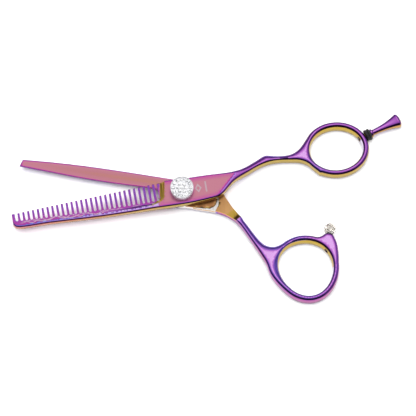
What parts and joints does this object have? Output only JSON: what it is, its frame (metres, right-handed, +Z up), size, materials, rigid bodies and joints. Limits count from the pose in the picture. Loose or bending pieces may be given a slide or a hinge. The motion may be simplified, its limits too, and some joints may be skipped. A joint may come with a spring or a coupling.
{
  "type": "thinning shears",
  "caption": "Hairdresser's thinning shears: a toothed and a plain blade on one pivot, stone-set tension dial, round finger and thumb rings, screw-in finger rest, crystal bumper.",
  "frame": {"origin": "on the pivot axis, at the flat underside of the pivot stud's head, on which the shears rest together with both finger rings", "axes": "+X from the pivot towards the finger rings (blades point to -X), +Z up along the pivot axis through the tension dial, +Y from the thumb ring's side to the finger ring's side"},
  "size_m": [0.1648, 0.0845, 0.0104],
  "materials": {
    "toothed_half_coat": "rose and violet titanium coating over polished steel, brushed flats",
    "plain_half_coat": "rose and violet titanium coating over polished steel, brushed inner face",
    "finger_rest_coat": "violet titanium coating, polished",
    "stud_steel": "turned steel",
    "washer_steel": "spring steel",
    "dial_chrome": "bright chrome, fluted edge",
    "nylon": "natural nylon",
    "dark_nylon": "dark nylon",
    "black_rubber": "black rubber",
    "clear_stone": "cut and polished clear stone"
  },
  "bodies": {
    "finger_side": {"toothed_half": "toothed_half_coat", "pivot_bush": "nylon", "thrust_washer": "dark_nylon", "finger_rest_washer": "black_rubber"},
    "thumb_side": {"plain_half": "plain_half_coat", "pivot_stud": "stud_steel", "glide_washer": "nylon", "wave_washer": "washer_steel", "click_plate": "washer_steel", "bumper_stud": "stud_steel", "bumper_crystal": "clear_stone"},
    "dial": {"tension_dial": "dial_chrome", "stone_centre": "clear_stone", "stone_inner_1": "clear_stone", "stone_inner_2": "clear_stone", "stone_inner_3": "clear_stone", "stone_inner_4": "clear_stone", "stone_inner_5": "clear_stone", "stone_inner_6": "clear_stone", "stone_outer_1": "clear_stone", "stone_outer_2": "clear_stone", "stone_outer_3": "clear_stone", "stone_outer_4": "clear_stone", "stone_outer_5": "clear_stone", "stone_outer_6": "clear_stone", "stone_outer_7": "clear_stone", "stone_outer_8": "clear_stone", "stone_outer_9": "clear_stone", "stone_outer_10": "clear_stone", "stone_outer_11": "clear_stone", "stone_outer_12": "clear_stone"},
    "rest": {"finger_rest": "finger_rest_coat"}
  },
  "joints": [
    {"name": "blade_pivot", "type": "hinge", "parent": "finger_side", "child": "thumb_side", "pos_m": [0, 0, 0.0039], "axis": [0, 0, -1], "range_deg": [-19, 60]},
    {"name": "tension_dial_turn", "type": "hinge", "parent": "thumb_side", "child": "dial", "pos_m": [0, 0, 0.009], "axis": [0, 0, 1], "range_deg": [-90, 90]},
    {"name": "finger_rest_screw", "type": "hinge", "parent": "finger_side", "child": "rest", "pos_m": [0.07819, 0.02651, 0.0025], "axis": [0.8914, 0.4532, 0], "range_deg": [0, 180]}
  ]
}
